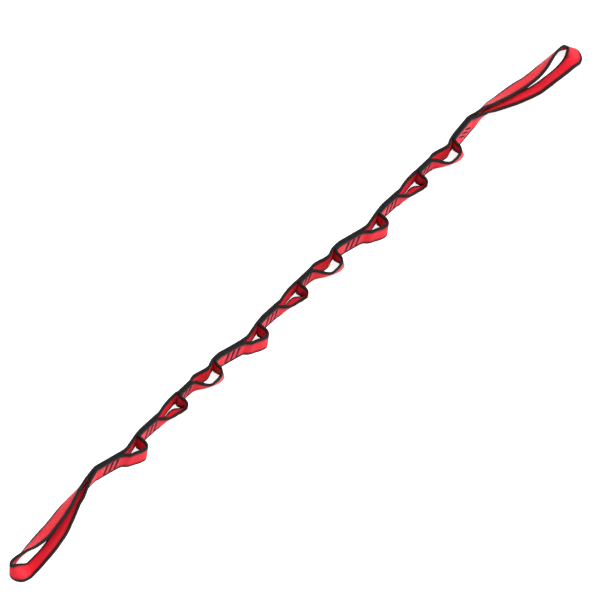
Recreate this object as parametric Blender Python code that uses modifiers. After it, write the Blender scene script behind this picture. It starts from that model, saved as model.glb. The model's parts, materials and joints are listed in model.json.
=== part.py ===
"""A climbing daisy chain of webbing: ten sewn joints, nine pockets between them and a splayed loop at each end.

The chain lies on its edge on z = 0, with the upper end loop towards +X and the pockets towards -Y.
Webbing bends only across its thickness, so every hinge stands upright, where two straps run into a sewn joint.
"""
import math

import bmesh
import bpy
from mathutils import Vector

# The webbing, with the gap that is kept between pieces that touch
WEBBING_WIDTH = 0.0190
WEBBING_THICKNESS = 0.0025
CLEARANCE = 0.0003

# A sewn joint: three bar tacks across two layers
BAR_COUNT = 3
FIRST_BAR = 0.0052
BAR_PITCH = 0.0072
BAR_LENGTH = 0.0120
BAR_WIDTH = 0.0020
BAR_HEIGHT = 0.0007
BAR_CHAMFER = 0.0003
THREAD_WIDTH = 0.0006
LAST_JOINT_LENGTH = 0.0275

# The stretches of the chain, measured along it as it lies
POCKET_DEPTH = 0.0160
TEARDROP_LEAD = 0.0320
TEARDROP_SPAN = 0.0468
SLIT_LEAD = 0.0250
SLIT_SPAN = 0.0375
TRIANGLE_LEAD = 0.0340
TRIANGLE_SPAN = 0.0350
FIRST_LEAD = 0.0268
END_LOOP_LENGTH = 0.1700
END_LOOP_BREADTH = 0.0250

# How straight the webbing runs before it bends, and how finely its bends are cut
STRAIGHT_AT_HINGE = 0.0012
LONGEST_STEP = 0.0045
LARGEST_TURN = math.radians(14)
CURVE_SAMPLES = 24
CURVE_ALLOWANCE = 0.0001
NOSE_ANGLES = [math.radians(angle) for angle in (0, 28, 52, 70, 80)]
CUT_OVERRUN = 0.0010

# Places are shares: along the span, out from the knee by the depth, then how far the top edge leans along and out
TEARDROP = {
    "lead": TEARDROP_LEAD,
    "span": TEARDROP_SPAN,
    "heading": math.radians(-12.6),
    "end_share": -0.04,
    "spine_shares": [(0.19, -0.03), (0.40, 0.14), (0.53, 0.09), (0.69, -0.04), (0.86, -0.13)],
    "pocket_shares": [
        (0.10, 0.08, 0.05, 0.00),
        (0.155, 0.30, 0.20, 0.00),
        (0.165, 0.70, 0.40, 0.00),
        (0.24, 0.96, 0.46, 0.05),
        (0.39, 1.00, 0.42, 0.25),
        (0.57, 0.94, 0.35, 0.45),
        (0.74, 0.87, 0.25, 0.40),
        (0.85, 0.54, 0.15, 0.30),
        (0.93, 0.24, 0.03, 0.08),
    ],
}
SLIT = {
    "lead": SLIT_LEAD,
    "span": SLIT_SPAN,
    "heading": math.radians(0),
    "end_share": 0.24,
    "spine_shares": [(0.15, -0.09), (0.52, -0.01), (0.84, 0.13)],
    "pocket_shares": [
        (-0.03, 0.30, 0.15, 0.00),
        (-0.04, 0.70, 0.35, 0.00),
        (0.03, 0.92, 0.40, 0.10),
        (0.20, 0.82, 0.25, 0.42),
        (0.40, 0.67, 0.10, 0.58),
        (0.65, 0.65, 0.00, 0.57),
        (0.82, 0.61, 0.00, 0.32),
        (0.92, 0.44, 0.00, 0.08),
    ],
}
TRIANGLE = {
    "lead": TRIANGLE_LEAD,
    "span": TRIANGLE_SPAN,
    "heading": math.radians(-1.5),
    "end_share": 0.17,
    "spine_shares": [(0.31, 0.05), (0.65, 0.18), (0.90, 0.12)],
    "pocket_shares": [
        (0.01, 0.11, 0.00, 0.00),
        (0.06, 0.42, 0.00, 0.00),
        (0.12, 0.82, -0.05, 0.00),
        (0.22, 1.05, -0.10, 0.00),
        (0.43, 1.02, 0.00, 0.05),
        (0.63, 0.86, 0.00, 0.12),
        (0.79, 0.70, 0.00, 0.10),
        (0.91, 0.44, 0.00, 0.03),
    ],
}
POCKET_FORMS = [TEARDROP, SLIT, TRIANGLE]
POCKET_COUNT = 9
FIRST_HEADING = math.radians(5.5)

# Places are shares of the loop's length and breadth, from the hinge round the tip and back, with the lean as above
UPPER_LOOP_SHARES = [
    (0.13, -0.06, 0.00, 0.08),
    (0.26, -0.08, 0.00, 0.55),
    (0.40, 0.11, 0.00, 0.78),
    (0.58, 0.34, 0.00, 0.82),
    (0.71, 0.38, 0.00, 0.71),
    (0.83, 0.35, -0.15, 0.52),
    (0.917, 0.42, -0.46, 0.22),
    (0.948, 0.68, -0.66, -0.28),
    (0.917, 0.98, -0.46, -0.48),
    (0.85, 1.10, -0.12, -0.42),
    (0.76, 1.09, 0.00, -0.35),
    (0.65, 1.00, 0.00, -0.30),
    (0.53, 0.88, 0.00, -0.20),
    (0.40, 0.67, 0.00, -0.10),
    (0.27, 0.27, 0.00, -0.05),
    (0.16, 0.07, 0.00, 0.00),
]
LOWER_LOOP_SHARES = [
    (0.13, -0.06, 0.00, 0.08),
    (0.26, -0.06, 0.00, 0.52),
    (0.38, 0.05, 0.00, 0.68),
    (0.51, 0.17, 0.00, 0.66),
    (0.65, 0.27, 0.00, 0.66),
    (0.77, 0.27, 0.02, 0.50),
    (0.89, 0.28, 0.05, 0.26),
    (0.965, 0.34, 0.12, 0.00),
    (0.99, 0.56, 0.18, -0.22),
    (0.965, 0.82, 0.15, -0.28),
    (0.91, 0.94, 0.05, -0.27),
    (0.84, 0.97, 0.00, -0.27),
    (0.71, 0.93, 0.00, -0.28),
    (0.60, 0.86, 0.00, -0.22),
    (0.47, 0.73, 0.00, -0.15),
    (0.35, 0.56, 0.00, -0.10),
    (0.23, 0.20, 0.00, -0.05),
    (0.14, 0.06, 0.00, 0.00),
]

LAYER_OFFSET = (WEBBING_THICKNESS + CLEARANCE) / 2
HINGE_RADIUS = WEBBING_THICKNESS + CLEARANCE / 2
HINGE_GAP = HINGE_RADIUS + CLEARANCE
HALF_WIDTH = WEBBING_WIDTH / 2
SEWN_LENGTH = FIRST_BAR + BAR_PITCH * (BAR_COUNT - 1) + BAR_WIDTH
SEWN_SHARES = [0.0, 0.5, 1.0]

WEBBING_RED = (0.72, 0.02, 0.03, 1)
THREAD_RED = (0.30, 0.01, 0.02, 1)


def clear_scene():
    for obj in list(bpy.data.objects):
        bpy.data.objects.remove(obj)


def make_collection(name):
    collection = bpy.data.collections.new(name)
    bpy.context.scene.collection.children.link(collection)
    return collection


def make_material(name, colour, roughness):
    material = bpy.data.materials.new(name)
    material.use_nodes = True
    shader = material.node_tree.nodes["Principled BSDF"]
    shader.inputs["Base Color"].default_value = colour
    shader.inputs["Roughness"].default_value = roughness
    shader.inputs["Metallic"].default_value = 0
    return material


def along(heading):
    """The way down the chain in plan, turned by a heading towards the pocket side."""
    return Vector((-math.cos(heading), -math.sin(heading)))


def aside(heading):
    """The pocket side of that way in plan."""
    return Vector((math.sin(heading), -math.cos(heading)))


def spline_point(points, index, share):
    """A point of the centripetal Catmull-Rom curve between points[index] and the next one."""
    last = len(points) - 1
    knots = [points[max(index - 1, 0)], points[index], points[index + 1], points[min(index + 2, last)]]
    if index == 0:
        knots[0] = knots[1] * 2 - knots[2]
    if index + 1 == last:
        knots[3] = knots[2] * 2 - knots[1]
    times = [0.0]
    for first, second in zip(knots, knots[1:]):
        times.append(times[-1] + math.sqrt((second.xy - first.xy).length))
    when = times[1] + (times[2] - times[1]) * share

    def mix(first, second, start, end):
        return first * ((end - when) / (end - start)) + second * ((when - start) / (end - start))

    layer = [mix(knots[i], knots[i + 1], times[i], times[i + 1]) for i in range(3)]
    layer = [mix(layer[i], layer[i + 1], times[i], times[i + 2]) for i in range(2)]
    return mix(layer[0], layer[1], times[1], times[2])


def nearest_on(place, run):
    """The nearest 4D point to this place on a run, with the way to the run's left-hand side there, seen from below."""
    nearest = None
    for first, second in zip(run, run[1:]):
        way = second.xy - first.xy
        share = min(max((place - first.xy).dot(way) / way.length_squared, 0.0), 1.0)
        spot = first.lerp(second, share)
        distance = (place - spot.xy).length
        if nearest is None or distance < nearest[0]:
            nearest = (distance, spot, Vector((-way.y, way.x)).normalized())
    return nearest[1], nearest[2]


def clear_of(point, run, facing=1):
    """The point, moved to one side of a run until webbing on both of them is clear, leans and all."""
    spot, side = nearest_on(point.xy, run)
    side = side * facing
    leans = [point.zw.dot(side), spot.zw.dot(side)]
    halves = sum(WEBBING_THICKNESS / 2 / math.sqrt(1 - lean**2) for lean in leans)
    room = halves + CLEARANCE + CURVE_ALLOWANCE + HALF_WIDTH * abs(leans[0] - leans[1])
    short = room - (point.xy - spot.xy).dot(side)
    return point + plan_point(side * short) if short > 0 else point


def smooth_run(points, straight=0, beside=None):
    """Stations along the curve through 4D points, closer together where it bends.

    Its first stretches can be straight, and the rest can keep clear of a run beside it.
    """
    dense = [
        spline_point(points, index, step / CURVE_SAMPLES)
        for index in range(straight, len(points) - 1)
        for step in range(CURVE_SAMPLES)
    ]
    dense.append(points[-1])
    if beside:
        dense = dense[:1] + [clear_of(point, beside) for point in dense[1:-1]] + dense[-1:]
    stations = points[:straight] + dense[:1]
    length = turn = 0.0
    for before, here, after in zip(dense, dense[1:], dense[2:]):
        length += (here - before).xy.length
        turn += abs((after - here).xy.angle_signed((here - before).xy))
        if length > LONGEST_STEP or turn > LARGEST_TURN:
            stations.append(here)
            length = turn = 0.0
    stations.append(dense[-1])
    return stations


def plan_point(place, lean=(0.0, 0.0)):
    """A plan place with the lean of the webbing there, as one 4D point."""
    return Vector((place.x, place.y, lean[0], lean[1]))


def ruling(lean):
    """The unit vector up the webbing's width, for a lean in plan."""
    return Vector((lean[0], lean[1], math.sqrt(1 - lean[0] ** 2 - lean[1] ** 2)))


def turned(shares, heading, size):
    """Shares along and out, as a plan vector at a heading."""
    return along(heading) * (shares[0] * size[0]) + aside(heading) * (shares[1] * size[1])


def walk_chain():
    """The hinges in order, with each link's heading and form; the last one is the hinge of the lower end loop."""
    place = Vector((0.0, 0.0))
    links = []
    for index in range(POCKET_COUNT):
        form = POCKET_FORMS[index % len(POCKET_FORMS)]
        heading = FIRST_HEADING if index == 0 else form["heading"]
        lead = FIRST_LEAD if index == 0 else form["lead"]
        knee = place + along(heading) * lead
        end = knee + turned((1.0, form["end_share"]), 0.0, (form["span"], POCKET_DEPTH))
        links.append({"hinge": place, "heading": heading, "knee": knee, "form": form})
        place = end
    last_heading = POCKET_FORMS[POCKET_COUNT % len(POCKET_FORMS)]["heading"]
    links.append({"hinge": place, "heading": last_heading, "knee": None, "form": None})
    links.append({"hinge": place + along(last_heading) * LAST_JOINT_LENGTH, "heading": last_heading})
    return links


def layer_start(link, side):
    """Plan points of a layer, from the hinge gap to the end of its sewn stretch."""
    offset = aside(link["heading"]) * (LAYER_OFFSET * side)
    points = []
    for share in SEWN_SHARES:
        step = HINGE_GAP + (SEWN_LENGTH - HINGE_GAP) * share
        points.append(plan_point(link["hinge"] + along(link["heading"]) * step + offset))
    return points


def layer_end(link, side):
    """Plan points of a layer where it runs into the next hinge, with the stations of its rounded nose."""
    offset = aside(link["heading"]) * (LAYER_OFFSET * side)
    way = along(link["heading"])
    before = [plan_point(link["hinge"] - way * STRAIGHT_AT_HINGE + offset)]
    nose = [plan_point(link["hinge"] + way * (HINGE_RADIUS * math.sin(angle)) + offset) for angle in NOSE_ANGLES]
    return before, nose


def form_points(link, shares):
    """The points of a form's curve in the chain's plan, placed from the link's knee."""
    size = (link["form"]["span"], POCKET_DEPTH)
    points = []
    for share in shares:
        place = link["knee"] + turned(share[:2], 0.0, size)
        lean = (share[2:] and turned(share[2:], 0.0, (1.0, 1.0))) or (0.0, 0.0)
        points.append(plan_point(place, lean))
    return points


def nose_fill():
    """How much of the thickness is left at each station of a nose."""
    return [
        (HINGE_RADIUS * math.cos(angle) - CLEARANCE / 2) / WEBBING_THICKNESS
        for angle in NOSE_ANGLES
    ]


def link_run(link, following, side):
    """Stations and thickness shares of the spine side (-1) or the pocket side (1) of a link."""
    name = "spine_shares" if side < 0 else "pocket_shares"
    before, nose = layer_end(following, side)
    points = layer_start(link, side)
    if side < 0:
        bend = link["knee"] - along(link["heading"]) * WEBBING_THICKNESS
        points.append(plan_point(bend - aside(link["heading"]) * LAYER_OFFSET))
    points += form_points(link, link["form"][name]) + before
    beside = link_run(link, following, -1)[0] if side > 0 else None
    stations = smooth_run(points, len(SEWN_SHARES) - 1, beside)
    return stations + nose, [1.0] * len(stations) + nose_fill()


def end_joint_run(link, following, side):
    """Stations and thickness shares of one layer of the last sewn joint, which has no pocket."""
    offset = aside(link["heading"]) * (LAYER_OFFSET * side)
    start = plan_point(link["hinge"] + along(link["heading"]) * HINGE_GAP + offset)
    nose = layer_end(following, side)[1]
    return [start] + nose, [1.0] + nose_fill()


def arm_end(link, side, outward):
    """Plan points of an arm of an end loop where it leaves its hinge, after the stations of its nose if it has one."""
    if outward < 0:
        before, nose = layer_end(link, side)
        return nose[::-1], before
    start = link["hinge"] + aside(link["heading"]) * (LAYER_OFFSET * side) + along(link["heading"]) * HINGE_GAP
    return [plan_point(start)], [plan_point(start + along(link["heading"]) * STRAIGHT_AT_HINGE)]


def end_loop_run(link, shares, outward):
    """Stations and thickness shares of an end loop, out along one arm, round the tip and back along the other."""
    first_end, start = arm_end(link, -1, outward)
    last_end, finish = arm_end(link, 1, outward)
    middle = []
    for share in shares:
        step = Vector((-outward * share[0] * END_LOOP_LENGTH, -share[1] * END_LOOP_BREADTH))
        middle.append(plan_point(link["hinge"] + step, (-outward * share[2], -share[3])))
    stations = smooth_run(start + middle + finish)
    near = [(station.xy - link["hinge"]).length < END_LOOP_LENGTH / 2 for station in stations]
    half = near.index(False)
    for index in range(half, len(stations) - 1):
        if near[index]:
            stations[index] = clear_of(stations[index], stations[:half], outward)
    ends = nose_fill() if len(first_end) > 1 else [1.0]
    return first_end + stations + last_end[::-1], ends[::-1] + [1.0] * len(stations) + ends


def strip_surface(name, stations, outward):
    """An open surface along the stations, on the strap's inner face, with its normals towards the outer face.

    Its lower edge rests on z = 0 wherever the webbing leans.
    """
    mesh = bpy.data.meshes.new(name)
    shell = bmesh.new()
    rows = []
    last = len(stations) - 1
    for index, station in enumerate(stations):
        up = ruling(station.zw)
        way = stations[min(index + 1, last)].xy - stations[max(index - 1, 0)].xy
        out = up.cross(way.to_3d()).normalized()
        height = HALF_WIDTH * up.z + WEBBING_THICKNESS / 2 * abs(out.z)
        middle = Vector((station.x, station.y, height)) - out * (outward * WEBBING_THICKNESS / 2)
        rows.append([shell.verts.new(middle - up * HALF_WIDTH), shell.verts.new(middle + up * HALF_WIDTH)])
    for row, following in zip(rows, rows[1:]):
        face = shell.faces.new((row[0], following[0], following[1], row[1]))
        if outward > 0:
            face.normal_flip()
    shell.to_mesh(mesh)
    shell.free()
    return mesh


def make_strap(name, run, outward, body, material, collection):
    """A strap of webbing: an open surface along its run, given its thickness, with its rounded noses."""
    stations, fill = run
    mesh = strip_surface(name, stations, outward)
    mesh.transform(body.matrix_world.inverted())
    strap = bpy.data.objects.new(name, mesh)
    collection.objects.link(strap)
    strap.parent = body
    mesh.materials.append(material)
    group = strap.vertex_groups.new(name="thickness")
    for index, share in enumerate(fill):
        group.add([2 * index, 2 * index + 1], share, "REPLACE")
    solid = strap.modifiers.new("thickness", "SOLIDIFY")
    solid.thickness = WEBBING_THICKNESS
    solid.offset = 1
    solid.vertex_group = group.name
    return strap


def bar_places(link):
    """Plan places of a joint's bar tacks, on the middle of the two layers."""
    way = along(link["heading"])
    return [link["hinge"] + way * (FIRST_BAR + BAR_PITCH * index) for index in range(BAR_COUNT)]


def bar_outline():
    """Half of a bar tack's section, out from the middle of the stack: thread, then a chamfered ridge."""
    inner = HINGE_RADIUS + CLEARANCE
    outer = inner + BAR_HEIGHT
    half_thread = THREAD_WIDTH / 2
    half_bar = BAR_WIDTH / 2
    return [
        (half_thread, inner),
        (half_bar, inner),
        (half_bar, outer - BAR_CHAMFER),
        (half_bar - BAR_CHAMFER, outer),
    ]


def make_bar_tack(name, place, link, body, material, collection):
    """A bar tack: a ridge of thread on each face of a joint, joined through the slot in both layers."""
    quarter = bar_outline()
    section = quarter + [(-x, y) for x, y in reversed(quarter)]
    section += [(x, -y) for x, y in reversed(section)]
    curve = bpy.data.curves.new(name, "CURVE")
    curve.dimensions = "2D"
    curve.fill_mode = "BOTH"
    curve.extrude = BAR_LENGTH / 2
    curve.materials.append(material)
    spline = curve.splines.new("POLY")
    spline.points.add(len(section) - 1)
    spline.use_cyclic_u = True
    for point, (x, y) in zip(spline.points, section):
        spot = along(link["heading"]) * x + aside(link["heading"]) * y
        point.co = (spot.x, spot.y, 0, 1)
    bar = bpy.data.objects.new(name, curve)
    collection.objects.link(bar)
    bar.parent = body
    bar.location = place.to_3d() - body.matrix_world.translation
    bar.location.z = HALF_WIDTH
    return bar


def make_slot_cutter(name, link, collection):
    """The cutter for the slots that a joint's thread passes through."""
    shell = bmesh.new()
    size = Vector((THREAD_WIDTH + 2 * CLEARANCE, 2 * (HINGE_RADIUS + CUT_OVERRUN), BAR_LENGTH + 2 * CLEARANCE))
    for place in bar_places(link):
        box = bmesh.ops.create_cube(shell, size=1)["verts"]
        bmesh.ops.scale(shell, vec=size, verts=box)
        bmesh.ops.translate(shell, vec=(0, 0, HALF_WIDTH), verts=box)
        for vert in box:
            spot = place + along(link["heading"]) * vert.co.x + aside(link["heading"]) * vert.co.y
            vert.co.xy = spot
    mesh = bpy.data.meshes.new(name)
    shell.to_mesh(mesh)
    shell.free()
    cutter = bpy.data.objects.new(name, mesh)
    collection.objects.link(cutter)
    cutter.hide_render = True
    cutter.display_type = "WIRE"
    return cutter


def cut_slots(strap, cutter):
    slots = strap.modifiers.new("thread slots", "BOOLEAN")
    slots.operation = "DIFFERENCE"
    slots.solver = "EXACT"
    slots.object = cutter


def make_body(name, hinge, parent, collection):
    """An empty on the upright axis that a body swings about, under the body before it."""
    body = bpy.data.objects.new(name, None)
    collection.objects.link(body)
    body.parent = parent
    above = parent.matrix_world.translation if parent else Vector()
    body.location = hinge.to_3d() - above
    bpy.context.view_layer.update()
    return body


def centred(links):
    """The links moved so that the chain's own box is centred on the origin."""
    runs = [end_loop_run(links[0], UPPER_LOOP_SHARES, -1)[0], end_loop_run(links[-1], LOWER_LOOP_SHARES, 1)[0]]
    for link, following in zip(links[:POCKET_COUNT], links[1:]):
        runs.append(link_run(link, following, 1)[0])
    edges = []
    for run in runs:
        for station in run:
            lean = station.zw * HALF_WIDTH
            edges += [station.xy + lean, station.xy - lean]
    middle = Vector(
        (max(edge[axis] for edge in edges) + min(edge[axis] for edge in edges)) / 2 for axis in (0, 1)
    )
    for link in links:
        link["hinge"] = link["hinge"] - middle
        if link.get("knee"):
            link["knee"] = link["knee"] - middle
    return links


def main():
    clear_scene()
    parts = make_collection("climbing_daisy_chain")
    cutters = make_collection("cutters")
    webbing = make_material("webbing", WEBBING_RED, 0.55)
    thread = make_material("thread", THREAD_RED, 0.6)
    links = centred(walk_chain())

    body = make_body("upper_end_loop_body", links[0]["hinge"], None, parts)
    upper = end_loop_run(links[0], UPPER_LOOP_SHARES, -1)
    make_strap("upper_end_loop", upper, 1, body, webbing, parts)

    for number, (link, following) in enumerate(zip(links, links[1:]), start=1):
        body = make_body(f"link_{number}_body", link["hinge"], body, parts)
        run = link_run if link["form"] else end_joint_run
        spine = make_strap(f"spine_strap_{number}", run(link, following, -1), -1, body, webbing, parts)
        pocket = make_strap(f"pocket_strap_{number}", run(link, following, 1), 1, body, webbing, parts)
        for letter, place in zip("abc", bar_places(link)):
            make_bar_tack(f"bar_tack_{number}{letter}", place, link, body, thread, parts)
        cutter = make_slot_cutter(f"thread_slots_{number}", link, cutters)
        cut_slots(spine, cutter)
        cut_slots(pocket, cutter)

    last = links[-1]
    body = make_body("lower_end_loop_body", last["hinge"], body, parts)
    lower = end_loop_run(last, LOWER_LOOP_SHARES, 1)
    make_strap("lower_end_loop", lower, -1, body, webbing, parts)


main()
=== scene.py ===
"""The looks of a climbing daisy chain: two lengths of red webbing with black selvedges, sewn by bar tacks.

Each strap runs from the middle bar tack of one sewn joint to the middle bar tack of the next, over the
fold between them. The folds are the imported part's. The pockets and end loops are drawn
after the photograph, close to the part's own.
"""
import json
import math

import bpy
import numpy as np
from mathutils import Matrix, Vector

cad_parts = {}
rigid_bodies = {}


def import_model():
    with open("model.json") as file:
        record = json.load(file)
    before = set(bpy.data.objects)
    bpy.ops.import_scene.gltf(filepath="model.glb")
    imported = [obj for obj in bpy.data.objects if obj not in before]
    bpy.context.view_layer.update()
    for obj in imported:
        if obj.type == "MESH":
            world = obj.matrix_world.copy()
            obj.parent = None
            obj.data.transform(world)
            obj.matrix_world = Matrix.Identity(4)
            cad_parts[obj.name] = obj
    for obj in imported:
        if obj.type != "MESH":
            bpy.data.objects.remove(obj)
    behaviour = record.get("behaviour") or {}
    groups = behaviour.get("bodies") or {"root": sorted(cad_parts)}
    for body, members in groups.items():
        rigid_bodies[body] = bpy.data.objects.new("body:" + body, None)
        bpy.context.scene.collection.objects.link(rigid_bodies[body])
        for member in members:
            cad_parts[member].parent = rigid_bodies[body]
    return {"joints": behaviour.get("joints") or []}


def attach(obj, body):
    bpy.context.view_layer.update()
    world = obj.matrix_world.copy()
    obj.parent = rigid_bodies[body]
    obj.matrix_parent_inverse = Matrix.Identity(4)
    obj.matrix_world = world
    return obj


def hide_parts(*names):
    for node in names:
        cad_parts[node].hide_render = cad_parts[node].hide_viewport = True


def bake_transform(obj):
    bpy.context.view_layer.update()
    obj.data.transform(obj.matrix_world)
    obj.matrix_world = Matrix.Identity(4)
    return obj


for thing in list(bpy.data.objects):
    bpy.data.objects.remove(thing)
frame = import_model()

bl_info = {
    "name": "Climbing Daisy Chain",
    "version": (1, 0, 0),
    "blender": (4, 5, 0),
    "location": "View3D > Sidebar > Daisy Chain",
    "description": "Adds the webbing, the bar tacks and the stage of a climbing daisy chain",
    "category": "Add Mesh",
}

# Millimetres in a metre, for the materials
MILLIMETRES = 1000

# The three forms of pocket, which take turns down the chain, with lengths in metres and headings in
# degrees. "lead" is how far past a joint's fold its pocket starts, and "meets" is how far past the next
# fold the pocket strap comes to lie on the back strap. The places along a strap are shares of the span and
# of POCKET_DEPTH. Those of the pocket strap also hold the lean of the webbing, down the chain and aside,
# and how far its lower edge curls in.
POCKET_DEPTH = 0.0160
TEARDROP = {
    "lead": 0.0320,
    "span": 0.0468,
    "heading": -12.6,
    "back": [(0.19, -0.03), (0.40, 0.14), (0.53, 0.09), (0.69, -0.04), (0.86, -0.13)],
    "pocket": [
        (0.10, 0.08, 0.05, 0.00, 0.0),
        (0.145, 0.30, 0.26, 0.06, 0.1),
        (0.155, 0.68, 0.40, 0.10, 0.4),
        (0.22, 0.95, 0.52, 0.08, 0.7),
        (0.36, 1.03, 0.52, 0.14, 0.7),
        (0.53, 0.96, 0.42, 0.32, 0.4),
        (0.68, 0.80, 0.30, 0.50, 0.1),
        (0.79, 0.54, 0.22, 0.48, 0.0),
        (0.885, 0.28, 0.10, 0.34, 0.0),
        (0.95, 0.15, 0.03, 0.18, 0.0),
    ],
    "meets": 0.0010,
}
SLIT = {
    "lead": 0.0250,
    "span": 0.0375,
    "heading": 0.0,
    "back": [(0.15, -0.09), (0.52, -0.01), (0.84, 0.13)],
    "pocket": [
        (-0.05, 0.28, 0.16, 0.00, 0.1),
        (-0.08, 0.64, 0.36, 0.03, 0.8),
        (-0.02, 0.88, 0.40, 0.08, 1.0),
        (0.08, 0.80, 0.30, 0.40, 1.0),
        (0.18, 0.62, 0.16, 0.66, 0.6),
        (0.30, 0.56, 0.10, 0.74, 0.1),
        (0.44, 0.56, 0.06, 0.70, 0.0),
        (0.60, 0.55, 0.06, 0.64, 0.0),
        (0.78, 0.51, 0.02, 0.50, 0.0),
        (0.93, 0.39, 0.00, 0.30, 0.0),
        (1.04, 0.24, 0.00, 0.10, 0.0),
    ],
    "meets": 0.0050,
}
TRIANGLE = {
    "lead": 0.0340,
    "span": 0.0350,
    "heading": -1.5,
    "back": [(0.31, 0.05), (0.65, 0.18), (0.90, 0.12)],
    "pocket": [
        (0.01, 0.11, 0.05, 0.00, 0.0),
        (0.04, 0.42, 0.12, 0.00, 0.0),
        (0.09, 0.82, 0.12, 0.00, 0.0),
        (0.23, 1.08, 0.06, 0.00, 0.0),
        (0.43, 1.00, 0.02, 0.02, 0.0),
        (0.62, 0.81, 0.02, 0.05, 0.0),
        (0.78, 0.65, 0.02, 0.08, 0.0),
        (0.89, 0.40, 0.00, 0.10, 0.0),
        (0.97, 0.20, 0.00, 0.06, 0.0),
    ],
    "meets": 0.0025,
}
FORMS = [TEARDROP, SLIT, TRIANGLE]
POCKET_COUNT = 9
FIRST_HEADING = 5.5
FIRST_LEAD = 0.0268

# The end loops, round from the far arm: out and aside in shares of their length and breadth, then the way
# across the webbing, out and aside and up. The webbing turns over at the tip, so that the near arm comes
# back upside down.
LOOP_LENGTH = 0.170
LOOP_BREADTH = 0.025
UPPER_LOOP = [
    (0.07, -0.03, 0.00, 0.10, 0.99),
    (0.16, -0.08, -0.20, 0.40, 0.89),
    (0.245, -0.04, -0.27, 0.67, 0.69),
    (0.302, 0.03, -0.25, 0.74, 0.63),
    (0.369, 0.10, -0.22, 0.82, 0.53),
    (0.440, 0.17, -0.19, 0.86, 0.47),
    (0.505, 0.24, -0.13, 0.89, 0.44),
    (0.572, 0.32, -0.05, 0.86, 0.51),
    (0.622, 0.35, 0.02, 0.84, 0.54),
    (0.670, 0.36, 0.08, 0.78, 0.61),
    (0.708, 0.35, 0.11, 0.73, 0.66),
    (0.757, 0.33, 0.09, 0.61, 0.78),
    (0.805, 0.32, 0.02, 0.50, 0.86),
    (0.866, 0.32, -0.20, 0.42, 0.88),
    (0.925, 0.38, -0.50, 0.28, 0.82),
    (0.958, 0.66, -0.76, -0.18, 0.62),
    (0.930, 0.90, -0.62, -0.66, 0.30),
    (0.885, 1.00, -0.32, -0.90, -0.15),
    (0.830, 1.03, -0.10, -0.92, -0.38),
    (0.760, 1.03, 0.06, -0.89, -0.45),
    (0.667, 0.98, 0.08, -0.88, -0.47),
    (0.595, 0.93, 0.14, -0.88, -0.46),
    (0.529, 0.86, 0.19, -0.89, -0.42),
    (0.473, 0.74, 0.25, -0.88, -0.39),
    (0.413, 0.60, 0.28, -0.88, -0.39),
    (0.356, 0.47, 0.31, -0.85, -0.41),
    (0.303, 0.34, 0.32, -0.82, -0.46),
    (0.243, 0.22, 0.27, -0.79, -0.54),
    (0.187, 0.14, 0.19, -0.71, -0.67),
    (0.137, 0.11, 0.14, -0.52, -0.84),
    (0.088, 0.10, 0.08, -0.27, -0.96),
]
LOWER_LOOP = [
    (0.130, -0.07, 0.00, 0.14, 0.99),
    (0.205, -0.06, -0.12, 0.38, 0.91),
    (0.265, -0.01, -0.16, 0.52, 0.84),
    (0.340, 0.07, -0.18, 0.68, 0.70),
    (0.406, 0.14, -0.14, 0.75, 0.65),
    (0.523, 0.24, -0.12, 0.80, 0.59),
    (0.618, 0.29, -0.05, 0.85, 0.53),
    (0.690, 0.31, 0.04, 0.79, 0.61),
    (0.763, 0.32, 0.07, 0.68, 0.73),
    (0.830, 0.31, 0.07, 0.46, 0.88),
    (0.900, 0.31, 0.09, 0.24, 0.97),
    (0.963, 0.36, 0.13, 0.02, 0.99),
    (0.997, 0.52, 0.10, -0.12, 0.98),
    (0.992, 0.68, -0.12, -0.35, 0.92),
    (0.966, 0.79, -0.40, -0.58, 0.70),
    (0.925, 0.86, -0.58, -0.74, 0.30),
    (0.872, 0.90, -0.56, -0.81, -0.05),
    (0.820, 0.92, -0.42, -0.86, -0.26),
    (0.765, 0.92, -0.18, -0.87, -0.44),
    (0.702, 0.90, 0.00, -0.86, -0.51),
    (0.632, 0.84, 0.12, -0.83, -0.54),
    (0.547, 0.73, 0.19, -0.82, -0.54),
    (0.490, 0.62, 0.22, -0.81, -0.54),
    (0.437, 0.51, 0.26, -0.79, -0.56),
    (0.385, 0.40, 0.28, -0.76, -0.58),
    (0.320, 0.26, 0.27, -0.73, -0.63),
    (0.254, 0.13, 0.23, -0.66, -0.71),
    (0.204, 0.07, 0.17, -0.53, -0.83),
    (0.159, 0.05, 0.10, -0.35, -0.93),
    (0.110, 0.04, 0.05, -0.19, -0.98),
]

# The sewn joints, with distances down the chain from each joint's fold. The webbing of each one leans out
# of the upright and lies a little aside of its fold. Past its knee, where the pocket starts, the lean eases
# away.
LAYER_OFFSET = 0.00146
FIRST_BAR = 0.0052
BAR_PITCH = 0.0072
BAR_COUNT = 3
MIDDLE_BAR = FIRST_BAR + BAR_PITCH
SEWN_LENGTH = 0.0216
BEFORE_KNEE = 0.0025
JOINT_LEANS = [-0.10, 0.10, 0.02, 0.03, 0.08, 0.02, 0.01, 0.10, 0.02, 0.03]
LEAN_EASE = 0.022
JOINT_SHIFTS = [0.0, 0.0, -0.0010, -0.0003, 0.0, -0.0009, 0.0, 0.0007, -0.0005, -0.0005]

# How far an end loop's arms run straight on past their fold
UPPER_STRAIGHT = 0.0012
LOWER_STRAIGHT = 0.00415

# How finely the straps are drawn
STEP = 0.0010
CURVE_SAMPLES = 24
JOINT_POINTS = 8
UPPER_ARM_POINTS = 16
LOWER_ARM_POINTS = 24

# The least gap between two straps, the steepest lean that it is worked out for, and the difference in lean
# past which the straps are taken to part
LEAST_GAP = 0.0001
MOST_LEAN = 0.95
PARTING_LEAN = 0.2

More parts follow.
